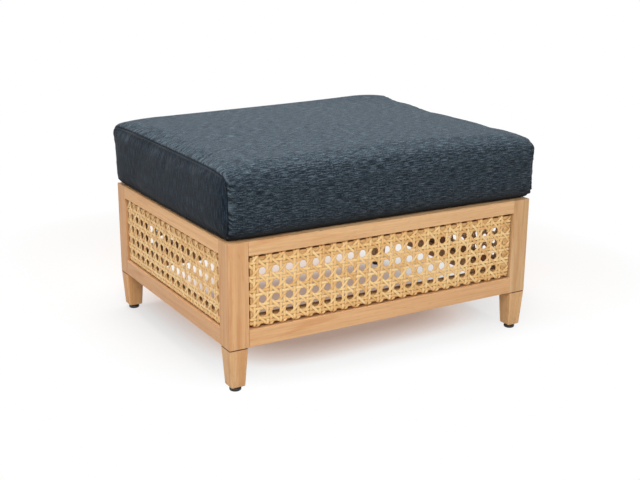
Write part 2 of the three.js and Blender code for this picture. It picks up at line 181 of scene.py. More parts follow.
# Cushion: at each corner, how far the wall and its foot draw in and how far the top drops
CUSHION_HALF_WIDTH = 0.3665
CUSHION_HALF_DEPTH = 0.2915
CUSHION_BASE = 0.2977
CUSHION_EDGE_TOP = 0.4370
CUSHION_TOP_ROUND = 0.024
CUSHION_FOOT_ROUND = 0.022
CUSHION_LEAST_ROUND = 0.005
CUSHION_FOOT_SHARE = 0.7
CUSHION_END_ROUND = 0.013
CUSHION_END_SHARE = 0.4
CUSHION_END_SWELL = 0.001
CUSHION_SIDE_DRAW = 0.0035
CUSHION_FOOT_DRAW = 0.0012
CUSHION_CORNERS = {
    (-1, -1): (0.007, 0.005, 0.016),
    (1, -1): (0.0, 0.0, 0.010),
    (1, 1): (0.013, 0.006, 0.018),
    (-1, 1): (0.0, 0.009, 0.010),
}
CUSHION_CROWN = 0.014
CUSHION_BACK_RISE = 0.0030
CUSHION_CORNER_RISE = 0.0225
CUSHION_RIGHT_DROP = 0.003
FOAM_INSET = 0.015
FOAM_END_INSET = 0.010
FOAM_STEP = 4

# Filling: the cloth's settings, and how near the zip, the base or a seam it is held or sewn
PUFF_LIMIT = 0.004
PUFF_FRAMES = 20
PUFF_CLOTH = dict(
    quality=5, mass=0.3, tension_stiffness=25, compression_stiffness=25, shear_stiffness=12,
    bending_stiffness=1.5, use_pressure=True, uniform_pressure_force=1.2, shrink_max=0.004,
    vertex_group_mass="pinned", vertex_group_shrink="sewn")
HELD_DEPTH = 0.02
HELD_BY_ZIP = 0.008
HELD_AT_BASE = 0.0015
SEWN_WIDTH = 0.0035

# Seams, and where the end panels' cut starts on the cloth
SEAM_TURN = 62
LOOP_CLOSING = 0.006
PANEL_CUT = np.array([0.37, 0.11])
GROOVE_DEPTH, GROOVE_WIDTH = 0.0013, 0.0014
RIDGE_RISE, RIDGE_PLACE, RIDGE_WIDTH = 0.0006, 0.0038, 0.0022
PUCKER_RISE, PUCKER_LENGTH, PUCKER_REACH, PUCKER_START = 0.0022, 0.0165, 0.017, 0.0024
PUCKER_WAVES, PUCKER_DRIFT = (0.05, 0.14), 0.4
GATHER_PANEL, GATHER_TOP, GATHER_FOOT, GATHER_HEIGHT = 0.15, 0.45, 1.0, 0.07
SWELL_RISE, SWELL_REACH, SWELL_WAVES = 0.0009, 0.05, (0.1, 0.325)
RESTING_START, RESTING_HEIGHT = 0.001, 0.01
# How wide the painted shade along a seam is
SEAM_SHADE_WIDTH = 0.0016
# How far from a seam the painted highlight and shade of the puckers reach
FOLD_SHADE_REACH = 0.014
FOOT_SHADE_START, FOOT_SHADE_REACH = 0.006, 0.014

# Zip: its slot in the cover with the rows and lines of points there, its tape, and a tooth's
# half sizes along, out and up
SLOT_WALL = 0.0016
SLOT_DEPTH = 0.0035
SLOT_EDGE = 0.0002
SLOT_ROWS = np.array([-0.0008, 0.0000, 0.0008, 0.0030, 0.0060])
SLOT_CLEARED = (0.0015, 0.0075)
SLOT_LINES = np.array([-0.0012, -0.0004, 0.0004, 0.0020, 0.0040, 0.0065, 0.0110, 0.0170])
BACK_DEPTH = 0.015
HEM_LEVEL = 0.0008
HEM_REACH = 0.02
HEM_RISE, HEM_PLACE, HEM_WIDTH = 0.0007, 0.0015, 0.002
TUCK_DEPTH, TUCK_PLACE, TUCK_WIDTH = 0.0006, 0.0052, 0.0011
TAPE_HALF_THICKNESS = 0.0006
CORD_RISE, CORD_PLACE, CORD_WIDTH = 0.0004, 0.0036, 0.0008
TOOTH_SIZE = (0.00052, 0.00085, 0.00185)
TOOTH_BLUNTNESS = 0.12
TOOTH_PITCH = 0.00155
TOOTH_LIFT = 0.00075
TOOTH_OFFSET = 0.00085
TEETH_MARGIN = 0.006


def attach(piece, body, slot, *replaced):
    """Ties a finished piece to its CAD body and hides the CAD nodes it stands for; slot is not
    used.
    """
    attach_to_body(piece, body)
    if replaced:
        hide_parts(*replaced)
    return piece


def mesh_piece(name, points, quads, material, smooth=True):
    """A mesh object from an array of points and an array of four-cornered faces."""
    mesh = bpy.data.meshes.new(name)
    mesh.vertices.add(points.size // 3)
    mesh.vertices.foreach_set("co", np.ascontiguousarray(points, dtype=np.float32).ravel())
    mesh.loops.add(quads.size)
    mesh.loops.foreach_set("vertex_index", np.ascontiguousarray(quads, dtype=np.int32).ravel())
    mesh.polygons.add(len(quads))
    mesh.polygons.foreach_set("loop_start", np.arange(0, quads.size, 4, dtype=np.int32))
    mesh.polygons.foreach_set("use_smooth", np.full(len(quads), smooth))
    mesh.update(calc_edges=True)
    mesh.materials.append(material)
    piece = bpy.data.objects.new(name, mesh)
    bpy.context.scene.collection.objects.link(piece)
    return piece


def circle(count):
    """Angles evenly round a circle."""
    return np.linspace(0, 2 * math.pi, count, endpoint=False)


def grid_quads(rows, columns):
    """Faces between neighbouring rows of a grid of points whose columns run round and close."""
    row = np.arange(rows - 1)[:, None] * columns
    column = np.arange(columns)[None, :]
    after = (column + 1) % columns
    return np.stack(
        [row + column, row + after, row + columns + after, row + columns + column], axis=-1
    ).reshape(-1, 4)


def ring_cap(ring):
    """Faces across a ring with an even number of points: strips between its two halves."""
    left = np.arange(ring // 2 - 1)
    return np.stack([left, left + 1, ring - 2 - left, ring - 1 - left], axis=-1)


def repeat_quads(one, count, size):
    """The faces of one body for as many bodies, kept one after the other with size points each."""
    return (one[None] + np.arange(count)[:, None, None] * size).reshape(-1, 4)


def tube_quads(tubes, steps, ring):
    """Faces of closed tubes kept one after the other, each with its rings of points in order."""
    cap = ring_cap(ring)
    closed = np.concatenate([grid_quads(steps, ring), cap[:, ::-1], cap + (steps - 1) * ring])
    return repeat_quads(closed, tubes, steps * ring)


def weld_points(piece):
    """Merges the points of a new piece that lie on each other, such as those at a pole."""
    mesh = bmesh.new()
    mesh.from_mesh(piece.data)
    bmesh.ops.remove_doubles(mesh, verts=mesh.verts, dist=WELD_DISTANCE)
    mesh.to_mesh(piece.data)
    mesh.free()
    return piece


def add_uv(piece, values):
    """Gives the corners of the faces, in their order, a pair of values each."""
    layer = piece.data.uv_layers.new(name="surface")
    layer.data.foreach_set("uv", np.ascontiguousarray(values, dtype=np.float32).ravel())


def add_values(piece, name, values):
    """Keeps one number per vertex on the mesh for a material to read."""
    attribute = piece.data.attributes.new(name, "FLOAT", "POINT")
    attribute.data.foreach_set("value", np.ascontiguousarray(values, dtype=np.float32))


def read_values(mesh, name):
    """The numbers that add_values kept."""
    values = np.empty(len(mesh.vertices))
    mesh.attributes[name].data.foreach_get("value", values)
    return values


def read_points(mesh, kind="co"):
    """The places or the normals of a mesh's vertices, one row each."""
    values = np.empty(len(mesh.vertices) * 3)
    mesh.vertices.foreach_get(kind, values)
    return values.reshape(-1, 3)


def apply_modifiers(piece):
    """Keeps the mesh that the piece's modifiers give, and drops the modifiers."""
    graph = bpy.context.evaluated_depsgraph_get()
    mesh = bpy.data.meshes.new_from_object(piece.evaluated_get(graph))
    piece.modifiers.clear()
    piece.data = mesh


def bell(distance, width):
    """A bell curve: e to the power of minus the square of distance over width."""
    return np.exp(-(distance / width) ** 2)


def box_of(node):
    """The middle and the half sizes of a CAD node's box."""
    low, high = (np.array(corner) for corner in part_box(node))
    return (low + high) / 2, (high - low) / 2


# Materials

def linear(red, green, blue):
    """A colour given as screen values from 0 to 255, as the linear values that a shader takes."""
    share = np.array([red, green, blue]) / 255
    curve = ((share + 0.055) / 1.055) ** 2.4
    return tuple(np.where(share <= 0.04045, share / 12.92, curve).tolist())


class Shading:
    """A tree of shader nodes under construction, with short ways to add and join them."""

    def __init__(self, tree):
        self.tree = tree

    def fill(self, node, inputs):
        """Sets a node's inputs, given by name or number, or links other nodes' sockets to them."""
        for socket, value in inputs.items():
            if isinstance(value, bpy.types.NodeSocket):
                self.tree.links.new(value, node.inputs[socket])
            else:
                node.inputs[socket].default_value = value

    def node(self, kind, output, inputs, **settings):
        """Adds a node and gives back one of its outputs."""
        made = self.tree.nodes.new(kind)
        for key, value in settings.items():
            setattr(made, key, value)
        self.fill(made, inputs)
        return made.outputs[output]

    def maths(self, operation, first, second=0):
        return self.node("ShaderNodeMath", "Value", {0: first, 1: second}, operation=operation)

    def levels(self, factor, low, high, to_low=0.0, to_high=1.0):
        """The factor stretched so that low becomes to_low and high becomes to_high."""
        return self.node("ShaderNodeMapRange", "Result", {
            "Value": factor, "From Min": low, "From Max": high,
            "To Min": to_low, "To Max": to_high})

    def seen_rays(self):
        """1 for what the camera sees, also in a mirror or through glass, and 0 for other light."""
        rays = self.tree.nodes.new("ShaderNodeLightPath").outputs
        seen = self.maths("MAXIMUM", rays["Is Camera Ray"], rays["Is Glossy Ray"])
        return self.maths("MAXIMUM", seen, rays["Is Transmission Ray"])


class Finish(Shading):
    """A material under construction, from the settings of its surface."""

    def __init__(self, name, **surface):
        self.material = bpy.data.materials.new(name)
        self.material.use_nodes = True
        super().__init__(self.material.node_tree)
        self.shader = self.tree.nodes["Principled BSDF"]
        self.surface(**surface)

    def surface(self, **inputs):
        """Sets or links the surface's own inputs; an input's name has _ for each space."""
        self.fill(self.shader, {name.replace("_", " "): value for name, value in inputs.items()})

    def coordinates(self, source="Object", scale=(1, 1, 1), place=(0, 0, 0), turn=(0, 0, 0)):
        """The piece's own coordinates, moved, turned and stretched for a pattern."""
        return self.node("ShaderNodeMapping", "Vector", {
            "Vector": self.node("ShaderNodeTexCoord", source, {}),
            "Location": place, "Rotation": turn, "Scale": scale})

    def axis(self, source, name):
        """One of the piece's own coordinates by itself."""
        return self.node("ShaderNodeSeparateXYZ", name, {0: self.coordinates(source)})

    def noise(self, detail, scale, place=(0, 0, 0), source="Object", distortion=0.0):
        """Noise over the piece's own coordinates, stretched and moved."""
        return self.node("ShaderNodeTexNoise", "Fac", {
            "Vector": self.coordinates(source, scale, place), "Scale": 1.0,
            "Detail": detail, "Distortion": distortion})

    def waves(self, vector, scale, direction="X"):
        return self.node(
            "ShaderNodeTexWave", "Fac", {"Vector": vector, "Scale": scale},
            bands_direction=direction)

    def value(self, name):
        """The numbers that add_values kept on the piece."""
        return self.node("ShaderNodeAttribute", "Fac", {}, attribute_name=name)

    def ramp(self, factor, *stops):
        """A colour ramp from pairs of a position and a screen colour."""
        made = self.tree.nodes.new("ShaderNodeValToRGB")
        elements = made.color_ramp.elements
        while len(elements) < len(stops):
            elements.new(0.5)
        for element, (position, colour) in zip(elements, stops):
            element.position = position
            element.color = (*linear(*colour), 1)
        self.fill(made, {"Fac": factor})
        return made.outputs["Color"]

    def mix(self, factor, first, second, blend="MIX"):
        """Two colours mixed, each a socket or three linear values."""
        first, second = (
            colour if isinstance(colour, bpy.types.NodeSocket) else (*colour, 1)
            for colour in (first, second))
        return self.node(
            "ShaderNodeMix", 2, {0: factor, 6: first, 7: second},
            data_type="RGBA", blend_type=blend)

    def stain(self, colour, factor, low, high, most, screen_colour):
        """A colour stained with another, from not at all at low to a share of most at high."""
        return self.mix(self.levels(factor, low, high, 0, most), colour, linear(*screen_colour))

    def finished(self, colour, relief, strength, distance, **others):
        """Joins the colour and the relief to the surface and gives back the material."""
        normal = self.node("ShaderNodeBump", "Normal", {
            "Strength": strength, "Distance": distance, "Height": relief})
        self.surface(Base_Color=colour, Normal=normal, **others)
        return self.material


def wood_finish(name, grain, seed, tone=(1, 1, 1), light=(220, 178, 133), dark=(194, 147, 103),
                roughness=0.55, joint_shade_height=None):
    """Oiled wood: broad and fine streaks along the grain, dark pores and a tone, partly its own and
    partly painted light.
    Above a given height near a leg's top, the wood is painted dark as the shade in the step under
    the post."""
    finish = Finish(name, Roughness=roughness, Specular_IOR_Level=0.35)
    place = (seed * 1.37, seed * 0.71, seed * 2.13)

    def streaks(along, across, detail, distortion=0.0):
        scale = [across] * 3
        scale["XYZ".index(grain)] = along
        return finish.noise(detail, scale, place, distortion=distortion)

    broad = streaks(2.2, 55, 2.0, 0.6)
    fine = streaks(7, 330, 4.0, 0.3)
    flames = streaks(3.5, 42, 2.0, 1.3)
    pores = streaks(45, 1500, 1.0)
    medium = [(a + b) / 2 for a, b in zip(light, dark)]
    colour = finish.ramp(
        finish.mix(0.55, broad, fine), (0.30, dark), (0.50, medium), (0.70, light))
    colour = finish.stain(colour, flames, 0.55, 0.66, 0.5, (192, 133, 85))
    colour = finish.mix(1.0, colour, tone, "MULTIPLY")
    colour = finish.stain(colour, pores, 0.62, 0.74, 0.35, (120, 78, 46))
    # Painted shade: the top of a leg is painted dark, as the shade in the step under its post
    if joint_shade_height is not None:
        height = finish.axis("Object", "Z")
        colour = finish.stain(colour, height, joint_shade_height, joint_shade_height + JOINT_SHADE_FADE, 1.0, (84, 50, 24))
    relief = finish.maths("SUBTRACT", fine, finish.levels(pores, 0.62, 0.74))
    return finish.finished(
        colour, relief, 0.25, 0.0002,
        Roughness=finish.levels(fine, 0.3, 0.7, roughness - 0.06, roughness + 0.08))


def cane_finish():
    """Honey plastic strand: each strand has a tone of its own and fine grooves, and its edges
    are painted brown as the shade between strands.
    """
    finish = Finish("woven cane strand", Specular_IOR_Level=0.45)
    colour = finish.ramp(
        finish.value("strand_tone"),
        (0.0, (222, 176, 112)), (0.5, (240, 200, 136)), (1.0, (248, 218, 160)))
    grooves = finish.noise(2.0, (18, 2600, 1), source="UV")
    blotches = finish.noise(2.0, (60, 60, 60))
    rim = finish.maths("ABSOLUTE", finish.axis("UV", "Y"))
    colour = finish.stain(colour, grooves, 0.42, 0.7, 0.3, (206, 152, 92))
    colour = finish.stain(colour, blotches, 0.45, 0.75, 0.3, (228, 176, 112))
    # Painted shade: the strand's edges are painted brown, as the shade between strands
    colour = finish.stain(colour, rim, 0.0019, 0.0029, 0.45, (158, 98, 48))
    return finish.finished(
        colour, grooves, 0.3, 0.0002, Roughness=finish.levels(grooves, 0.3, 0.7, 0.36, 0.5))


def border_finish():
    """The wood strips that the web is folded over: the front face oiled in the web's own honey
    tone, the other faces painted dark brown as the shade behind the web.
    """
    finish = Finish("web border strip", Roughness=0.6)
    streaks = finish.noise(3.0, (70, 70, 240))
    face = finish.ramp(streaks, (0.35, (198, 150, 92)), (0.65, (226, 186, 128)))
    # Painted shade: every face but the front one is painted dark brown, as the shade behind the web
    colour = finish.mix(finish.value("face"), linear(150, 96, 52), face)
    return finish.finished(colour, streaks, 0.3, 0.0003)


def fabric_finish():
    """Slate melange: pale and dark threads in short streaks, over a fine plain weave. The end
    panels have upright streaks of their own cut and are painted darker as shade; folds get a
    painted highlight on their crests and painted shade in their hollows, and seams and the foot
    are painted nearly black as shade."""
    finish = Finish(
        "slate melange",
        Roughness=0.95, Specular_IOR_Level=0.15, Sheen_Weight=0.05, Sheen_Roughness=0.5)
    long_streaks = finish.noise(1.0, (52, 700, 1), source="UV")
    short_streaks = finish.noise(1.0, (280, 1200, 1), (3, 7, 0), "UV")
    upright = finish.noise(1.0, (44, 620, 1), (5, 4, 0), "UV")
    clouds = finish.noise(2.0, (9, 14, 1), (1, 2, 0), "UV")
    colour = finish.ramp(
        finish.mix(0.45, long_streaks, short_streaks),
        (0.36, (5, 11, 18)), (0.50, (31, 42, 51)), (0.64, (90, 103, 112)))
    colour = finish.stain(colour, clouds, 0.3, 0.7, 0.2, (36, 47, 56))
    # Painted shade: the end panels, with upright streaks of their own cut, are painted darker for
    # the less light on the ends
    panel = finish.ramp(
        finish.mix(0.35, upright, short_streaks),
        (0.36, (7, 15, 24)), (0.50, (17, 28, 38)), (0.64, (48, 62, 75)))
    colour = finish.mix(finish.value("on_panel"), colour, panel)
    # Painted highlight on the crests of the puckers and painted shade in their hollows
    fold = finish.value("fold")
    colour = finish.stain(colour, fold, 0.1, 1, 0.4, (118, 134, 146))
    colour = finish.stain(colour, fold, -0.1, -1, 0.8, (8, 12, 18))
    # Painted shade: the seam grooves are painted nearly black
    colour = finish.stain(colour, finish.value("seam"), 0, 1, 0.85, (10, 13, 18))
    # Painted shade: the foot is painted nearly black, darker towards the bottom
    colour = finish.stain(colour, finish.value("foot"), 0, 1, 0.95, (2, 3, 6))
    warp, weft = (finish.waves(finish.coordinates("UV"), 420, axis) for axis in "XY")
    return finish.finished(colour, finish.maths("MULTIPLY", warp, weft), 0.25, 0.0003)


def metal_finish(name, colour, roughness):
    """Plated steel with fine brushing and slightly uneven gloss."""
    finish = Finish(name, Roughness=roughness, Metallic=1.0)
    brushing = finish.noise(2.0, (40, 40, 2200))
    patches = finish.levels(finish.noise(2.0, (180, 180, 180)), 0.35, 0.7, 0, 0.35)
    return finish.finished(
        finish.mix(patches, colour, [part * 0.7 for part in colour]), brushing, 0.08, 0.0001,
        Roughness=finish.levels(brushing, 0.3, 0.7, roughness - 0.07, roughness + 0.1))


def plastic_finish(name, colour, roughness):
    """Moulded plastic with a fine spark-eroded grain."""
    finish = Finish(name, Roughness=roughness)
    grain = finish.noise(2.0, (1600, 1600, 1600))
    wear = finish.levels(finish.noise(3.0, (90, 90, 90)), 0.45, 0.75, 0, 0.4)
    return finish.finished(
        finish.mix(wear, colour, [part * 1.9 + 0.004 for part in colour]), grain, 0.15, 0.0001,
        Roughness=finish.levels(grain, 0.3, 0.7, roughness - 0.05, roughness + 0.12))


def foam_finish():
    """Cut foam: small open cells, a little yellowed in clouds."""
    finish = Finish("cut foam", Roughness=0.95)
    cells = finish.noise(2.0, (900, 900, 900))
    clouds = finish.levels(finish.noise(2.0, (12, 12, 12)), 0.3, 0.7)
    colour = finish.mix(clouds, linear(240, 232, 208), linear(232, 216, 178))
    return finish.finished(colour, cells, 0.5, 0.0006)


def tape_finish():
    """Zip tape: dark twill ribbon."""
    finish = Finish("zip tape weave", Roughness=0.85)
    twill = finish.waves(finish.coordinates(turn=(0, math.radians(35), 0)), 520)
    colour = finish.mix(twill, linear(32, 39, 48), linear(54, 64, 77))
    return finish.finished(colour, twill, 0.4, 0.0003)


# Cane webbing

def saturate(wave):
    """A wave from -1 to 1 with its crests held flat: tanh of the wave, scaled back to 1."""
    return np.tanh(LIFT_SHARPNESS * wave) / math.tanh(LIFT_SHARPNESS)


def pair_wave(distance):
    """One full sine over the width of a pair of strands about its middle, and nothing outside."""
    share = distance / (2 * PAIR_SPREAD)
    return np.where(np.abs(share) < 1, np.sin(math.pi * share), 0)


def from_middle(place, hole):
    """How far a place is from the nearest middle between two holes of the weave."""
    return (place - hole) % CANE_PITCH - CANE_PITCH / 2


def lines_within(bound, hole):
    """The middles between holes, a pitch apart, that lie from minus bound to bound."""
    first, last = (-bound - hole) / CANE_PITCH - 0.5, (bound - hole) / CANE_PITCH - 0.5
    return hole + (np.arange(math.ceil(first), math.floor(last) + 1) + 0.5) * CANE_PITCH


def crowd(places, hole):
    """Evenly spread places, moved closer together where two pairs of strands cross."""
    phase = 2 * math.pi * (places - hole) / CANE_PITCH
    return places + CROSSING_CROWDING * CANE_PITCH / (2 * math.pi) * np.sin(phase)


def strand_profile(width):
    """Eight points round a flat strand with a slightly domed face, as (across, lift) pairs."""
    across = np.array([0.5, 0.36, 0.0, -0.36, -0.5, -0.36, 0.0, 0.36]) * width
    lift = np.array([0.0, 0.42, 0.5, 0.42, 0.0, -0.42, -0.5, -0.42]) * STRAND_THICKNESS
    return np.stack([across, lift], axis=-1)


def strands(middles, lift, width, draw):
    """Tubes about middle lines in the flat web. A point lies across the line by its place in the
    strand's profile and by a slow drift, a sine of the length with a drawn phase, and above the
    web by the lift plus its place in the profile. Returns the points, their lengthwise and
    crosswise places and their strands' tones."""
    count, _ = lift.shape
    run = np.linalg.norm(np.diff(middles, axis=1), axis=-1)
    length = np.concatenate([np.zeros((count, 1)), np.cumsum(run, axis=1)], axis=1)
    forward = (middles[:, -1] - middles[:, 0]) / length[:, -1:]
    sideways = np.stack([-forward[:, 1], forward[:, 0]], axis=-1)[:, None, None, :]
    profile = strand_profile(width)
    phase = draw.uniform(0, 2 * math.pi, (count, 1))
    drift = STRAND_DRIFT * np.sin(2 * math.pi * length / DRIFT_WAVE + phase)
    across = profile[None, None, :, 0] + drift[:, :, None]
    flat = middles[:, :, None, :] + sideways * across[..., None]
    height = lift[:, :, None] + profile[None, None, :, 1]
    points = np.concatenate([flat, height[..., None]], axis=-1)
    lengthwise = length[:, :, None] + draw.uniform(0, 3, (count, 1, 1)) + 0 * height
    crosswise = profile[None, None, :, 0] + 0 * height
    tone = draw.uniform(0, 1, (count, 1, 1)) + 0 * height
    return points, np.stack([lengthwise, crosswise], axis=-1), tone


def stretch_web(points, most):
    """Moves the weave along the side, as a web is that was pulled a little unevenly: by a cosine
    of the place, which fades away from its middle as a bell curve."""
    away = points[..., 0] - STRETCH_PLACE
    fade = bell(away, STRETCH_FADE * STRETCH_LENGTH)
    points[..., 0] += most * np.cos(2 * math.pi * away / STRETCH_LENGTH) * fade
    return points


def fold_back(points, folds):
    """Bends the web back at its border. Past a fold line a point goes round a quarter circle of
    the fold's radius and then straight back, and keeps its height above the web."""
    for axis, fold in enumerate(folds):
        past = np.abs(points[..., axis]) - (fold - FOLD_RADIUS)
        angle = np.clip(past / FOLD_RADIUS, 0, math.pi / 2)
        back = np.maximum(past - FOLD_RADIUS * math.pi / 2, 0)
        reach = FOLD_RADIUS + points[..., 2]
        bent = np.sign(points[..., axis]) * (fold - FOLD_RADIUS + reach * np.sin(angle))
        height = reach * np.cos(angle) - FOLD_RADIUS - back
        points[..., axis] = np.where(past > 0, bent, points[..., axis])
        points[..., 2] = np.where(past > 0, height, points[..., 2])
    return points


def straight_strands(axis, folds, holes, draw):
    """The pairs of strands along one axis of the web. Each pair runs midway between two lines of
    holes, and its strands pass over and under those of the pairs that cross it."""
    other = 1 - axis
    reach = folds[axis] - FOLD_RADIUS + FOLD_TAIL
    pairs = lines_within(folds[other] - FOLD_RADIUS - PAIR_SPREAD, holes[other])
    sides = np.tile([-1, 1], len(pairs))
    lines = np.repeat(pairs, 2) + sides * PAIR_SPREAD
    steps = int(2 * reach / CANE_PITCH * STEPS_PER_PITCH)
    run = crowd(np.linspace(-reach, reach, steps), holes[axis])
    middles = np.empty((len(lines), steps, 2))
    middles[..., axis] = run
    middles[..., other] = lines[:, None]
    turn = 1 if axis == 1 else -1
    wave = saturate(pair_wave(from_middle(run, holes[axis])) / 2) / saturate(0.5)
    lift = turn * PAIR_LIFT * sides[:, None] * wave[None, :]
    return strands(middles, lift, STRAND_WIDTH, draw)


def diagonal_strands(slope, folds, holes, draw):
    """The strands at 45 degrees, one for each line of holes. One slope passes over the upright
    pairs and under the level ones, and the other slope the other way round: the lift is a
    flattened cosine of the place along the level axis."""
    flat_u, flat_v = folds[0] - FOLD_RADIUS, folds[1] - FOLD_RADIUS
    offset = lines_within(flat_u + flat_v, holes[0] - slope * holes[1])

    def stretch(limit_u, limit_v):
        ends = [(-limit_u - offset) * slope, (limit_u - offset) * slope]
        return np.maximum(np.min(ends, axis=0), -limit_v), np.minimum(np.max(ends, axis=0), limit_v)

    inner = stretch(flat_u, flat_v)
    kept = inner[1] - inner[0] > 2 * DIAGONAL_WIDTH
    upright, level = stretch(flat_u, flat_v + FOLD_TAIL), stretch(flat_u + FOLD_TAIL, flat_v)
    low = np.minimum(upright[0], level[0])[kept, None]
    high = np.maximum(upright[1], level[1])[kept, None]
    steps = int(2 * (flat_v + FOLD_TAIL) / CANE_PITCH * STEPS_PER_PITCH)
    rise = low + (high - low) * np.linspace(0, 1, steps)
    along = offset[kept, None] + slope * rise
    phase = 2 * math.pi * (along - holes[0]) / CANE_PITCH
    lift = -slope * DIAGONAL_LIFT * saturate(np.cos(phase))
    return strands(np.stack([along, rise], axis=-1), lift, DIAGONAL_WIDTH, draw)


def side_axes(name):
    """The directions along, up and out of one side of the box, as rows of a matrix."""
    angle = math.radians(SIDE_ANGLES[name])
    return np.array([
        (math.cos(angle), math.sin(angle), 0),
        (0, 0, 1),
        (math.sin(angle), -math.cos(angle), 0),
    ])


def cane_panel(name, material):
    """One side's webbing: upright and level pairs and two slopes of diagonals, interlaced."""
    middle, half = box_of(f"cane_panel_{name}")
    axes, holes = side_axes(name), WEB_HOLES[name]
    folds = (abs(half @ axes[0]) - FOLD_INSETS[0], half[2] - FOLD_INSETS[1])
    draw = np.random.default_rng(3 + list(SIDE_ANGLES).index(name))
    families = [straight_strands(axis, folds, holes, draw) for axis in (1, 0)]
    families += [diagonal_strands(slope, folds, holes, draw) for slope in (1, -1)]
    points, surface, tones, quads, start = [], [], [], [], 0
    for flat, uv, tone in families:
        count, steps, ring, _ = flat.shape
        flat = stretch_web(flat, WEB_STRETCHES[name])
        points.append(fold_back(flat, folds).reshape(-1, 3))
        surface.append(uv.reshape(-1, 2))
        tones.append(tone.reshape(-1))
        quads.append(tube_quads(count, steps, ring) + start)
        start += count * steps * ring
    placed = middle + np.concatenate(points) @ axes
    quads = np.concatenate(quads)
    piece = mesh_piece(f"woven_web_{name}", placed, quads, material)
    add_uv(piece, np.concatenate(surface)[quads])
    add_values(piece, "strand_tone", np.concatenate(tones))
    return attach(piece, "frame", "woven_cane", f"cane_panel_{name}")


def panel_frame(name, material):
    """The four mitred strips that the web is folded over: a rounded profile carried from corner
    to corner, each end cut back by as much as the profile lies inward."""
    middle, half = box_of(f"panel_frame_{name}")
    axes = side_axes(name)
    outer = np.array([abs(half @ axes[0]), half[2]]) - STRIP_INSET
    depth = abs(half @ axes[2])
    width = STRIP_WIDTH - STRIP_INSET
    bend = np.linspace(0, math.pi / 2, 5)
    rounded, edge = STRIP_ROUND, STRIP_EDGE
    inward = np.append(rounded - rounded * np.cos(bend), [width - edge, width, width, 0, 0])
    lift = np.append(
        depth - rounded + rounded * np.sin(bend), [depth, depth - edge, -depth, -depth, -depth / 2])
    corners = np.array([(-1, 1), (1, 1), (1, -1), (-1, -1)]) * outer
    rings = []
    for start, end in zip(corners, np.roll(corners, -1, axis=0)):
        forward = (end - start) / np.linalg.norm(end - start)
        across = np.array([forward[1], -forward[0]])
        for corner, side in ((start, 1), (end, -1)):
            back = side * forward * (inward[:, None] + STRIP_MITRE_GAP)
            rings.append(np.column_stack([corner + back + across * inward[:, None], lift]))
    placed = middle + np.concatenate(rings) @ axes
    quads = tube_quads(4, 2, len(inward))
    piece = mesh_piece(f"web_frame_{name}", placed, quads, material, smooth=False)
    # 1 on the front face, which keeps the honey tone; the other faces get painted shade
    add_values(piece, "face", np.tile(lift > depth - STRIP_FACE, len(rings)))
    return attach(piece, "frame", "inner_softwood", f"panel_frame_{name}")


# Glides and screws

def glide(corner, material):
    """A levelling glide: a moulded foot with a rounded rim on a screwed stem. Each point of the
    profile, a radius and a height, runs round the upright axis. On the stem the radius dips along
    a helix: by the distance of height / pitch - turn from a whole number."""
    middle, _ = box_of(f"glide_{corner}")
    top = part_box(f"glide_{corner}")[1].z
    foot_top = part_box(f"leg_{corner}")[0].z - GLIDE_GAP
    rim_width = GLIDE_RIM_RADIUS - GLIDE_SOLE_RADIUS
    profile = [(0, 0), (GLIDE_SOLE_RADIUS * GLIDE_SOLE_FLAT, 0)]
    profile += [
        (GLIDE_SOLE_RADIUS + rim_width * math.cos(bend), GLIDE_RIM_RISE * (1 + math.sin(bend)))
        for bend in np.linspace(-math.pi / 2, 0, 7)]
    profile += [
        (GLIDE_RIM_RADIUS, GLIDE_RIM_HEIGHT - GLIDE_RIM_EDGE[1]),
        (GLIDE_RIM_RADIUS - GLIDE_RIM_EDGE[0], GLIDE_RIM_HEIGHT),
        (GLIDE_SHOULDER_RADIUS + GLIDE_SHOULDER_EDGE, foot_top - GLIDE_SHOULDER_EDGE),
        (GLIDE_SHOULDER_RADIUS, foot_top),
        (GLIDE_STEM_RADIUS, foot_top)]
    threads = np.arange(
        foot_top + THREAD_START, top - GLIDE_STEM_EDGE[1], THREAD_PITCH / THREAD_STEPS)
    profile += [(GLIDE_STEM_RADIUS, height) for height in threads]
    profile += [(GLIDE_STEM_RADIUS - GLIDE_STEM_EDGE[0], top), (0, top)]
    radius, height = np.array(profile).T[:, :, None]
    turn = np.linspace(0, 1, GLIDE_SIDES, endpoint=False)[None, :]
    flank = np.abs((height / THREAD_PITCH - turn) % 1 - 0.5) * 2
    threaded = (height > foot_top) & (radius > 0)
    radius = radius - np.where(threaded, THREAD_DEPTH * (1 - flank), 0)
    x, y = radius * np.cos(2 * math.pi * turn), radius * np.sin(2 * math.pi * turn)
    points = np.stack([middle[0] + x, middle[1] + y, height + 0 * turn], axis=-1)
    quads = grid_quads(len(profile), GLIDE_SIDES)
    piece = weld_points(mesh_piece(f"levelling_glide_{corner}", points, quads, material))
    return attach(piece, f"glide_{corner}", "black_glide", f"glide_{corner}")


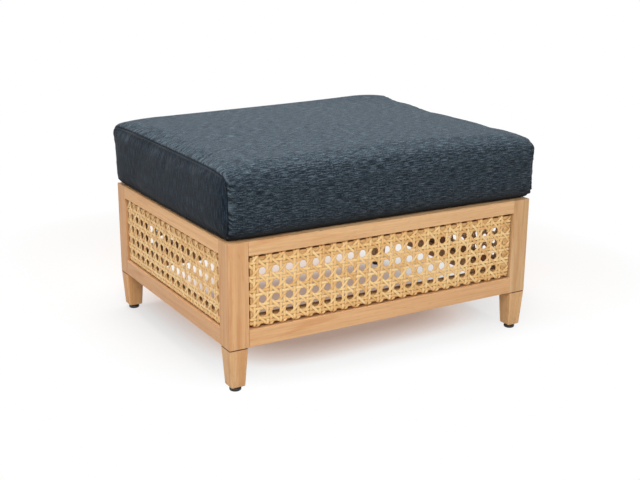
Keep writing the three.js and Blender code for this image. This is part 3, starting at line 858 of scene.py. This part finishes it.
def screw_heads(name, places, outward, material):
    """Countersunk heads with a cross recess, all alike: a low dome over a disc, pressed in where
    a point is near either bar of the cross. Each is turned by a drawn angle of its own."""
    draw = np.random.default_rng(len(places))
    angle = circle(SCREW_SIDES)
    flat_x, flat_y = SCREW_RINGS[:, None] * np.cos(angle), SCREW_RINGS[:, None] * np.sin(angle)
    across = np.minimum(np.abs(flat_x), np.abs(flat_y))
    reach = np.maximum(np.abs(flat_x), np.abs(flat_y))
    recess = np.where((across < CROSS_WIDTH) & (reach < CROSS_REACH), CROSS_DEPTH, 0)
    height = SCREW_HEIGHTS[:, None] * 0.001 - recess
    normal = np.array(outward, dtype=float)
    first = np.cross(normal, (0, 1, 0) if abs(normal[1]) < 0.5 else (1, 0, 0))
    second = np.cross(normal, first)
    turns = draw.uniform(0, math.pi / 2, len(places))[:, None, None]
    x = SCREW_RADIUS * (flat_x * np.cos(turns) - flat_y * np.sin(turns))
    y = SCREW_RADIUS * (flat_x * np.sin(turns) + flat_y * np.cos(turns))
    points = np.array(places)[:, None, None, :] + x[..., None] * first + y[..., None] * second
    points = points + height[..., None] * normal
    rings = len(SCREW_RINGS)
    closed = np.concatenate([grid_quads(rings, SCREW_SIDES), ring_cap(SCREW_SIDES)[:, ::-1]])
    quads = repeat_quads(closed, len(places), rings * SCREW_SIDES)
    piece = mesh_piece(name, points, quads, material, smooth=False)
    return attach(weld_points(piece), "frame", "zinc_steel")


# Cushion

def by_corner(x, y, column):
    """One of the cushion's corner values, by the quarter that shares x and y lie in."""
    return sum(
        values[column] * (np.sign(x) == side_x) * (np.sign(y) == side_y)
        for (side_x, side_y), values in CUSHION_CORNERS.items())


def top_height(x, y):
    """How high the top lies above its edge, at shares x and y of the half sizes: a crown that
    falls off to the sides, a rise to the back, a fuller back right corner, a flatter front right
    one, and a drop of its own at each corner."""
    crown = CUSHION_CROWN * (1 - x ** 2) * np.clip(1 - y ** 2, 0, 1) ** 0.75
    full = CUSHION_CORNER_RISE * ((x + 1) / 2) ** 2 * ((y + 1) / 2) ** 8
    flat = CUSHION_RIGHT_DROP * ((x + 1) / 2) ** 4 * ((1 - y) / 2) ** 2
    return crown + full - flat + CUSHION_BACK_RISE * y - by_corner(x, y, 2) * x ** 8 * y ** 8


def back_shares(low, high):
    """Shares of the back wall's height for its points, with lines along the zip's tape."""
    middle, half = (part[2] for part in box_of("zip_tape"))
    steps = np.append([0, half * 0.5], half + SLOT_LINES)
    heights = np.append(middle - steps[:0:-1], middle + steps)
    heights = np.concatenate([
        np.linspace(low, heights[0], 5)[1:-1], heights, [(heights[-1] + high) / 2]])
    return (heights - low) / (high - low)


def cushion_loops(inset, tightness):
    """The cross-sections of the cushion and the middle line that its end panels close on.

    A loop runs along the flat base, up round the back, along the top and down the front. Each
    corner is a quarter ellipse. inset draws a loop in on all sides, and tightness, from 0 at the
    middle line to 1, carries its points from the middle line out to the loop."""
    inset, tightness = inset[:, None], tightness[:, None]
    half = CUSHION_HALF_DEPTH - inset * CUSHION_END_SHARE
    low, high = CUSHION_BASE + inset, CUSHION_EDGE_TOP - inset
    top_round = np.maximum(CUSHION_TOP_ROUND - inset, CUSHION_LEAST_ROUND)
    foot_round = np.maximum(
        CUSHION_FOOT_ROUND - inset * CUSHION_FOOT_SHARE, CUSHION_LEAST_ROUND)
    flat = half - top_round
    across = np.linspace(-1, 1, 79)[None, :]
    foot = np.linspace(0, math.pi / 2, 7)[None, 1:]
    shoulder = np.linspace(0, math.pi / 2, 9)[None, :]
    back = back_shares(
        CUSHION_BASE + CUSHION_FOOT_ROUND, CUSHION_EDGE_TOP - CUSHION_TOP_ROUND)[None, :]
    front = np.linspace(0, 1, 17)[None, -2:0:-1]
    foot_y, foot_z = flat + top_round * np.sin(foot), low + foot_round * (1 - np.cos(foot))
    wall = low + foot_round
    rise = high - top_round - low - foot_round
    shoulder_y = flat + top_round * np.cos(shoulder)
    shoulder_z = high - top_round * (1 - np.sin(shoulder))
    inner = across[:, 1:-1]
    stretches = [
        (flat * across, low + 0 * across, across),
        (foot_y, foot_z, 1 + 0 * foot),
        (half + 0 * back, wall + rise * back, 1 + 0 * back),
        (shoulder_y, shoulder_z, 1 + 0 * shoulder),
        (-flat * inner, high + 0 * inner, -inner),
        (-shoulder_y[:, ::-1], shoulder_z[:, ::-1], -1 + 0 * shoulder),
        (-half + 0 * front, wall + rise * front, -1 + 0 * front),
        (-foot_y[:, ::-1], foot_z[:, ::-1], -1 + 0 * foot),
    ]
    y, z, share = (np.concatenate(part, axis=1) for part in zip(*stretches))
    middle_y = (CUSHION_HALF_DEPTH - (CUSHION_EDGE_TOP - CUSHION_BASE) / 2) * share
    middle_z = (low + high) / 2
    return middle_y + tightness * (y - middle_y), middle_z + tightness * (z - middle_z)


def cushion_rows():
    """Where the cross-sections stand: their x, inset and tightness, how far each is from the
    nearer seam along the surface, and whether it lies on an end panel. The seam lies low on the
    rounded end edge."""
    zip_half = box_of("zip_tape")[1][0]
    end, bend = CUSHION_HALF_WIDTH, CUSHION_END_ROUND
    panel = np.array([0, 0.1, 0.22, 0.34, 0.46, 0.57, 0.67, 0.76, 0.84, 0.90, 0.95])
    seam = math.radians(SEAM_TURN)
    turn = np.radians([90, 81, 74, 68, SEAM_TURN, 56, 49, 40, 29, 15, 0])
    band = np.linspace(0, end - bend, 52)[:-1]
    band = band[np.abs(band - zip_half - SLOT_CLEARED[0]) > SLOT_CLEARED[1]]
    band = np.sort(np.append(band, zip_half + SLOT_ROWS))[::-1]
    depth = (CUSHION_EDGE_TOP - CUSHION_BASE) / 2 - bend
    stretches = [
        (end + 0 * panel, bend + 0 * panel, panel,
         (1 - panel) * depth + bend * (math.pi / 2 - seam), 1 + 0 * panel),
        (end - bend + bend * np.sin(turn), bend * (1 - np.cos(turn)), 1 + 0 * turn,
         np.abs(turn - seam) * bend, turn > seam + 0.01),
        (band, 0 * band, 1 + 0 * band, end - bend - band + bend * seam, 0 * band),
    ]
    x, *others = (np.concatenate(part) for part in zip(*stretches))
    return [np.append(-x, x[-2::-1])] + [np.append(part, part[-2::-1]) for part in others]


def shape_cushion(x, y, z, half_width=CUSHION_HALF_WIDTH, half_depth=CUSHION_HALF_DEPTH):
    """Draws the box-like loops into the cushion: the sides pull in between the corners and
    towards the foot, the corners themselves by a high power of both shares, and the top rises by
    its crown, more the nearer a point is to the top."""
    share_x = x / half_width
    share_y = y / half_depth
    height = np.clip((z - CUSHION_BASE) / (CUSHION_EDGE_TOP - CUSHION_BASE), 0, 1)
    lean = CUSHION_FOOT_DRAW * (1 - height)
    corner = by_corner(share_x, share_y, 0) + by_corner(share_x, share_y, 1) * (1 - height) ** 2
    corner = corner * np.abs(share_x * share_y) ** 10
    x = x - share_x * (lean + corner + CUSHION_SIDE_DRAW * (1 - share_y ** 4))
    y = y - share_y * (lean + corner + CUSHION_SIDE_DRAW * (1 - share_x ** 4))
    z = z + top_height(np.clip(share_x, -1, 1), np.clip(share_y, -1, 1)) * height ** 2
    return np.stack([x, y, z], axis=-1).reshape(-1, 3)


def cloth_uv(quads, columns, along, round_loop, points, on_panel):
    """The cloth's own measure at the faces' corners: along X and round the loop on the wrapped
    panel, and up and across on the two end panels, so that its streaks run as they are cut."""
    row = quads // columns
    panel = (on_panel[row].sum(axis=1) > 0)[:, None, None]
    column = quads % columns
    closing = (column.max(axis=1) - column.min(axis=1) > 1)[:, None] & (column == 0)
    loop = np.append(round_loop, round_loop[-1] + LOOP_CLOSING)
    wrapped = np.stack([along[row], loop[np.where(closing, columns, column)]], axis=-1)
    return np.where(panel, points[quads][..., [2, 1]] + PANEL_CUT, wrapped)


def beyond_zip(points):
    """How far points lie outside the zip's tape, along or across it."""
    middle, half = box_of("zip_tape")
    return np.maximum(np.abs(points[:, 0]) - half[0], np.abs(points[:, 2] - middle[2]) - half[2])


def press_zip_slot(points):
    """Presses the back wall in behind the zip's tape, and raises a folded hem round the slot. From
    the slot's level the wall comes back with the square of the distance, and a bell curve raises
    the fold and another tucks in its stitching."""
    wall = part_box("zip_tape")[1].y - SLOT_WALL
    beyond = beyond_zip(points)
    back = points[:, 1] > CUSHION_HALF_DEPTH - BACK_DEPTH
    points[back & (beyond < SLOT_EDGE), 1] = wall - SLOT_DEPTH
    hem = back & (beyond >= SLOT_EDGE) & (beyond < HEM_REACH)
    share = np.clip(beyond / HEM_REACH, 0, 1)
    ridge = HEM_RISE * bell(beyond - HEM_PLACE, HEM_WIDTH)
    tuck = TUCK_DEPTH * bell(beyond - TUCK_PLACE, TUCK_WIDTH)
    level = wall + HEM_LEVEL
    points[hem, 1] = (level + (points[:, 1] - level) * share ** 2 + (ridge - tuck))[hem]
    return points


def puff(piece):
    """Fills the cover: cloth with pressure inside and no gravity, held round the zip and where it
    rests, with the threads of the seams a little shorter than the cloth. No point moves past
    PUFF_LIMIT: its way becomes the limit times the tanh of way over limit."""
    before = read_points(piece.data)
    near_zip = (before[:, 1] > CUSHION_HALF_DEPTH - HELD_DEPTH) & (beyond_zip(before) < HELD_BY_ZIP)
    held = near_zip | (before[:, 2] < CUSHION_BASE + HELD_AT_BASE)
    sewn = read_values(piece.data, "from_seam") < SEWN_WIDTH
    for name, members in (("pinned", held), ("sewn", sewn)):
        group = piece.vertex_groups.new(name=name)
        group.add(np.flatnonzero(members).tolist(), 1.0, "REPLACE")
    cloth = piece.modifiers.new("filling", "CLOTH")
    for key, value in PUFF_CLOTH.items():
        setattr(cloth.settings, key, value)
    cloth.settings.effector_weights.gravity = 0
    cloth.point_cache.frame_end = PUFF_FRAMES
    for step in range(1, PUFF_FRAMES + 1):
        bpy.context.scene.frame_set(step)
    filled = piece.evaluated_get(bpy.context.evaluated_depsgraph_get())
    move = read_points(filled.data) - before
    length = np.maximum(np.linalg.norm(move, axis=1, keepdims=True), 1e-9)
    points = before + move * PUFF_LIMIT * np.tanh(length / PUFF_LIMIT) / length
    piece.modifiers.clear()
    piece.vertex_groups.clear()
    bpy.context.scene.frame_set(1)
    piece.data.vertices.foreach_set("co", points.ravel())
    piece.data.update()


def ripple(place, seed, shortest, longest, count=14):
    """Smooth noise along a line: a sum of sines with drawn wavelengths and phases."""
    draw = np.random.default_rng(seed)
    total = 0 * place
    for _ in range(count):
        wave = draw.uniform(shortest, longest)
        total = total + np.sin(2 * math.pi * place / wave + draw.uniform(0, 6.3))
    return total / math.sqrt(count / 2)


def stitch_seams(piece):
    """Draws the seams in: a narrow groove between two low ridges, each a bell curve of the
    distance from the seam, and puckers that run square to the seam and fade away from it. They
    gather more towards the foot, and nothing rises where the cushion rests."""
    mesh = piece.data
    points, normals = read_points(mesh), read_points(mesh, "normal")
    away, on_panel = read_values(mesh, "from_seam"), read_values(mesh, "on_panel")
    along = points[:, 1] + points[:, 2]
    place = np.where(points[:, 1] > 0, along, points[:, 1] - points[:, 2])
    above = points[:, 2] - CUSHION_BASE
    groove = -GROOVE_DEPTH * bell(away, GROOVE_WIDTH)
    ridge = RIDGE_RISE * bell(away - RIDGE_PLACE, RIDGE_WIDTH)
    drift = PUCKER_DRIFT * ripple(place, 5, *PUCKER_WAVES, 4)
    pucker = np.sin(2 * math.pi * (place / PUCKER_LENGTH + drift))
    drop = np.clip((CUSHION_EDGE_TOP - points[:, 2]) / GATHER_HEIGHT, 0, 1)
    gather = GATHER_TOP + (GATHER_FOOT - GATHER_TOP) * drop
    gather = np.where(on_panel > 0.5, GATHER_PANEL, gather)
    fading = bell(away, PUCKER_REACH) * (1 - bell(away, PUCKER_START))
    swell = SWELL_RISE * ripple(along, 8, *SWELL_WAVES) * np.exp(-away / SWELL_REACH)
    free = np.clip((above - RESTING_START) / RESTING_HEIGHT, 0, 1)
    lift = (groove + ridge + PUCKER_RISE * gather * pucker * fading + swell) * free
    mesh.vertices.foreach_set("co", (points + normals * lift[:, None]).ravel())
    # How much painted shade each point gets in the seam groove
    add_values(piece, "seam", bell(away, SEAM_SHADE_WIDTH))
    # Where the painted highlight on pucker crests and the painted shade in their hollows go
    add_values(piece, "fold", gather * pucker * bell(away, FOLD_SHADE_REACH))
    # Painted shade at the foot: strongest near the base and fading upwards
    foot = np.clip(above - FOOT_SHADE_START, 0, 1)
    add_values(piece, "foot", np.exp(-foot / FOOT_SHADE_REACH))
    mesh.update()


def cushion_cover(material):
    """The filled cover: cross-sections carried along X, puffed, subdivided once and sewn."""
    x, inset, tightness, from_seam, on_panel = cushion_rows()
    y, z = cushion_loops(inset, tightness)
    rows, columns = y.shape
    swell = (np.abs(x) > CUSHION_HALF_WIDTH - 1e-6) * (1 - tightness ** 2) * CUSHION_END_SWELL
    points = press_zip_slot(shape_cushion((x + np.sign(x) * swell)[:, None] + 0 * y, y, z))
    quads = grid_quads(rows, columns)
    piece = mesh_piece("cushion_cover_filled", points, quads, material)
    step = np.hypot(np.diff(y[rows // 2]), np.diff(z[rows // 2]))
    round_loop = np.append(0, np.cumsum(step))
    add_uv(piece, cloth_uv(quads, columns, x, round_loop, points, on_panel))
    add_values(piece, "from_seam", np.repeat(from_seam, columns))
    add_values(piece, "on_panel", np.repeat(on_panel, columns))
    weld_points(piece)
    puff(piece)
    finer = piece.modifiers.new("finer", "SUBSURF")
    finer.levels = finer.render_levels = 1
    apply_modifiers(piece)
    stitch_seams(piece)
    return attach(piece, "cushion", "slate_fabric", "cushion_cover")


def foam_core(material):
    """The foam block inside the cover: the same cross-sections, drawn in all round."""
    x, inset, tightness, _, _ = cushion_rows()
    keep = np.unique(np.append(np.arange(0, len(x), FOAM_STEP), len(x) - 1))
    y, z = cushion_loops(inset[keep] + FOAM_INSET, tightness[keep])
    half_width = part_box("cushion_foam")[1].x - FOAM_END_INSET
    x = x[keep][:, None] * half_width / CUSHION_HALF_WIDTH + 0 * y
    points = shape_cushion(x, y, z, half_width, np.max(y))
    piece = weld_points(mesh_piece("foam_core", points, grid_quads(*y.shape), material))
    return attach(piece, "cushion", "cushion_foam", "cushion_foam")


# Zip

def zip_tape(material):
    """The two ribbons of the zip as one thin strip with soft edges and a woven cord along each
    side of the teeth: a profile of its height and thickness, carried along X."""
    middle, half = box_of("zip_tape")
    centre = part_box("zip_tape")[0].y + TAPE_HALF_THICKNESS
    height = np.linspace(-1, 1, 41)
    cord = CORD_RISE * bell(np.abs(height) * half[2] - CORD_PLACE, CORD_WIDTH)
    edge = np.sqrt(np.clip(1 - np.abs(height) ** 24, 0, 1))
    front = centre + TAPE_HALF_THICKNESS * edge + cord
    rear = centre - TAPE_HALF_THICKNESS * edge
    z = middle[2] + half[2] * np.append(height, height[-2:0:-1])
    y = np.append(front, rear[-2:0:-1])
    ring = np.stack([0 * y, y, z], axis=-1)
    x = np.linspace(-half[0], half[0], 40)[:, None, None] * np.array([1, 0, 0])
    piece = mesh_piece("zip_ribbon", ring + x, tube_quads(1, 40, len(y)), material)
    return attach(piece, "cushion", "zip_tape", "zip_tape")


def zip_teeth(material):
    """The closed coil: flattened pills in two rows that mesh, each a squashed sphere with blunt
    ends."""
    middle, half = box_of("zip_tape")
    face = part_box("zip_tape")[0].y + 2 * TAPE_HALF_THICKNESS
    length = 2 * half[0] - TEETH_MARGIN
    count = int(length / TOOTH_PITCH)
    polar = np.linspace(TOOTH_BLUNTNESS, math.pi - TOOTH_BLUNTNESS, 5)[:, None]
    angle = circle(8)
    ball = [np.sin(polar) * np.cos(angle), np.sin(polar) * np.sin(angle),
            -np.cos(polar) + 0 * angle]
    tooth = np.stack(ball, axis=-1) * TOOTH_SIZE
    index = np.arange(2 * count)
    places = np.stack([
        -length / 2 + (index + 0.5) * TOOTH_PITCH / 2,
        face + TOOTH_LIFT + 0 * index,
        middle[2] + np.where(index % 2 == 0, TOOTH_OFFSET, -TOOTH_OFFSET)], axis=-1)
    points = places[:, None, None, :] + tooth
    piece = mesh_piece("zip_coil", points, tube_quads(2 * count, *tooth.shape[:2]), material)
    return attach(piece, "cushion", "zip_tape")


# Stage, light and camera

def floor_finish():
    """A pale floor with painted shadow under the stool, tinted by a painted warm glow of the wood's
    own light, and fainter painted shadow round and behind it, that fades to plain white: in each
    of the two patches by the fourth-power length of the place over the patch's reach."""
    finish = Finish(
        "pale floor", Base_Color=(*FLOOR_COLOUR, 1), Roughness=0.9, Specular_IOR_Level=0.1)

    def away_from(middle, reach):
        place = finish.coordinates(
            scale=(1 / reach[0], 1 / reach[1], 1),
            place=(-middle[0] / reach[0], -middle[1] / reach[1], 0))
        kind = "ShaderNodeVectorMath"
        square = finish.node(kind, "Vector", {0: place, 1: place}, operation="MULTIPLY")
        return finish.node(kind, "Value", {0: square}, operation="LENGTH")

    away, faint = away_from(SHADE_MIDDLE, SHADE_REACH), away_from(FAINT_MIDDLE, FAINT_REACH)
    # Painted shadow: less of the white glow within the two patches
    fade = finish.maths(
        "MINIMUM",
        finish.levels(away, SHADE_START, SHADE_END, FLOOR_WHITENESS, 1.0),
        finish.levels(faint, FAINT_START, FAINT_END, FLOOR_WHITENESS, 1.0))
    # Painted warm light from the wood, tinting the glow in the deeper patch
    warm_glow = finish.levels(away, SHADE_START, SHADE_END * GLOW_END)
    white = finish.node("ShaderNodeEmission", "Emission", {
        "Color": finish.mix(warm_glow, FLOOR_GLOW_TINT, (1, 1, 1))})
    blend = finish.node("ShaderNodeMixShader", "Shader", {
        "Fac": finish.maths("MULTIPLY", finish.seen_rays(), fade),
        1: finish.shader.outputs["BSDF"], 2: white})
    finish.fill(finish.tree.nodes["Material Output"], {"Surface": blend})
    return finish.material


def lay_floor():
    """A round floor, flat and wide, in rings that grow outwards."""
    radius = np.append(0, np.geomspace(0.5, FLOOR_RADIUS, 16))[::-1, None]
    angle = circle(48)
    points = np.stack([radius * np.cos(angle), radius * np.sin(angle), 0 * radius * angle], axis=-1)
    floor = mesh_piece("floor", points, grid_quads(*points.shape[:2]), floor_finish())
    weld_points(floor)


def light_stage():
    """Soft studio light: large lamps above and in front, a weaker one from the left, and an even
    sky that the camera sees as white."""
    for name, (place, size, power) in LAMPS.items():
        light = bpy.data.lights.new(name, "AREA")
        light.shape = "DISK"
        light.size = size
        light.energy = power
        lamp = bpy.data.objects.new(name, light)
        lamp.location = place
        towards = Vector(LAMP_TARGET) - Vector(place)
        lamp.rotation_euler = towards.to_track_quat("-Z", "Y").to_euler()
        bpy.context.scene.collection.objects.link(lamp)
    world = bpy.data.worlds.new("studio")
    bpy.context.scene.world = world
    world.use_nodes = True
    sky = Shading(world.node_tree)
    sky.fill(sky.tree.nodes["Background"], {
        "Color": (1, 1, 1, 1), "Strength": sky.levels(sky.seen_rays(), 0, 1, SKY_LEVEL, 1.0)})


def place_camera():
    """The photograph's view. The camera's axes come from yaw, pitch and roll in that order."""
    forward = np.array([
        math.sin(CAMERA_YAW) * math.cos(CAMERA_PITCH),
        math.cos(CAMERA_YAW) * math.cos(CAMERA_PITCH),
        -math.sin(CAMERA_PITCH)])
    level = np.array([math.cos(CAMERA_YAW), -math.sin(CAMERA_YAW), 0])
    above = np.cross(level, forward)
    right = level * math.cos(CAMERA_ROLL) + above * math.sin(CAMERA_ROLL)
    up = above * math.cos(CAMERA_ROLL) - level * math.sin(CAMERA_ROLL)
    data = bpy.data.cameras.new("camera")
    data.sensor_fit = "HORIZONTAL"
    data.sensor_width = CAMERA_SENSOR
    data.lens = CAMERA_LENS
    data.clip_end = 100
    camera = bpy.data.objects.new("camera", data)
    turn = Matrix(np.column_stack([right, up, -forward]).tolist()).to_4x4()
    camera.matrix_world = Matrix.Translation(CAMERA_PLACE) @ turn
    bpy.context.scene.collection.objects.link(camera)
    bpy.context.scene.camera = camera


# Assembly

def dress(node, material, softening=EDGE_SOFTENING):
    """Gives a CAD node that stays its material, welds its loose triangles in a modifier and
    rounds its sharp edges a little."""
    piece = nodes[node]
    for holder in piece.material_slots:
        holder.material = material
    if softening:
        weld = piece.modifiers.new("weld", "WELD")
        weld.merge_threshold = WELD_DISTANCE
        bevel = piece.modifiers.new("eased edges", "BEVEL")
        bevel.width = softening
        bevel.segments = 2
        bevel.limit_method = "ANGLE"
        bevel.angle_limit = math.radians(EDGE_ANGLE)
        bevel.harden_normals = True


def dress_wood():
    """Each rail, post and leg gets its own stretch of grain and its own tone, partly painted light.
    """
    pieces = [(f"{kind}_rail_{side}", "X" if side in ("front", "back") else "Y")
              for kind in ("top", "bottom") for side in SIDE_ANGLES]
    pieces += [(f"{kind}_{corner}", "Z") for kind in ("post", "leg") for corner in CORNERS]
    for seed, (node, grain) in enumerate(pieces, start=1):
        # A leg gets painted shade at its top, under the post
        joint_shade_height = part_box(node)[1].z - JOINT_SHADE_LINE if node.startswith("leg") else None
        tone = WOOD_TONES_AND_LIGHT.get(node, PLAIN_TONE)
        dress(node, wood_finish(f"hardwood {node}", grain, seed, tone, joint_shade_height=joint_shade_height))


def fasten(steel):
    """The screws of the slats and of the frames behind the webbing."""
    places = []
    for slat in SEAT_SLATS:
        middle, half = box_of(slat)
        places += [
            middle + (x * half[0], y * (half[1] - SCREW_FROM_END), half[2])
            for x in SLAT_SCREWS for y in (-1, 1)]
    screw_heads("slat_screws", places, (0, 0, 1), steel)
    for side in SIDE_ANGLES:
        middle, half = box_of(f"panel_frame_{side}")
        along, up, out = side_axes(side)
        half_along, half_up = abs(half @ along) - SCREW_FROM_END, half[2] - STRIP_WIDTH / 2
        places = [
            middle + along * u * half_along + up * v * half_up - out * abs(half @ out)
            for u in STRIP_SCREWS for v in (-1, 1)]
        screw_heads(f"web_frame_screws_{side}", places, -out, steel)


place_camera()
lay_floor()
light_stage()

softwood_x = wood_finish("softwood along x", "X", 31, **SOFTWOOD)
softwood_y = wood_finish("softwood along y", "Y", 37, **SOFTWOOD)
cane = cane_finish()
border = border_finish()
steel = metal_finish("zinc plated steel", (0.62, 0.63, 0.65), 0.38)
zip_metal = metal_finish("zip metal", (0.30, 0.31, 0.33), 0.34)
black = plastic_finish("black glide", (0.012, 0.012, 0.012), 0.42)
coil = plastic_finish("zip coil", linear(30, 36, 44), 0.5)

dress_wood()
for node in SEAT_SLATS:
    dress(node, softwood_y)
for node in ("slat_cleat_front", "slat_cleat_back", "centre_bearer"):
    dress(node, softwood_x)
fasten(steel)
for side in SIDE_ANGLES:
    cane_panel(side, cane)
    panel_frame(side, border)
for corner in CORNERS:
    glide(corner, black)
    dress(f"leg_bolt_{corner}", steel, 0)
    dress(f"glide_insert_{corner}", steel, 0)
cushion_cover(fabric_finish())
foam_core(foam_finish())
zip_tape(tape_finish())
zip_teeth(coil)
dress("zip_slider", zip_metal, 0.00025)
dress("zip_pull", zip_metal, 0.0002)

bpy.context.scene.view_settings.view_transform = "Standard"
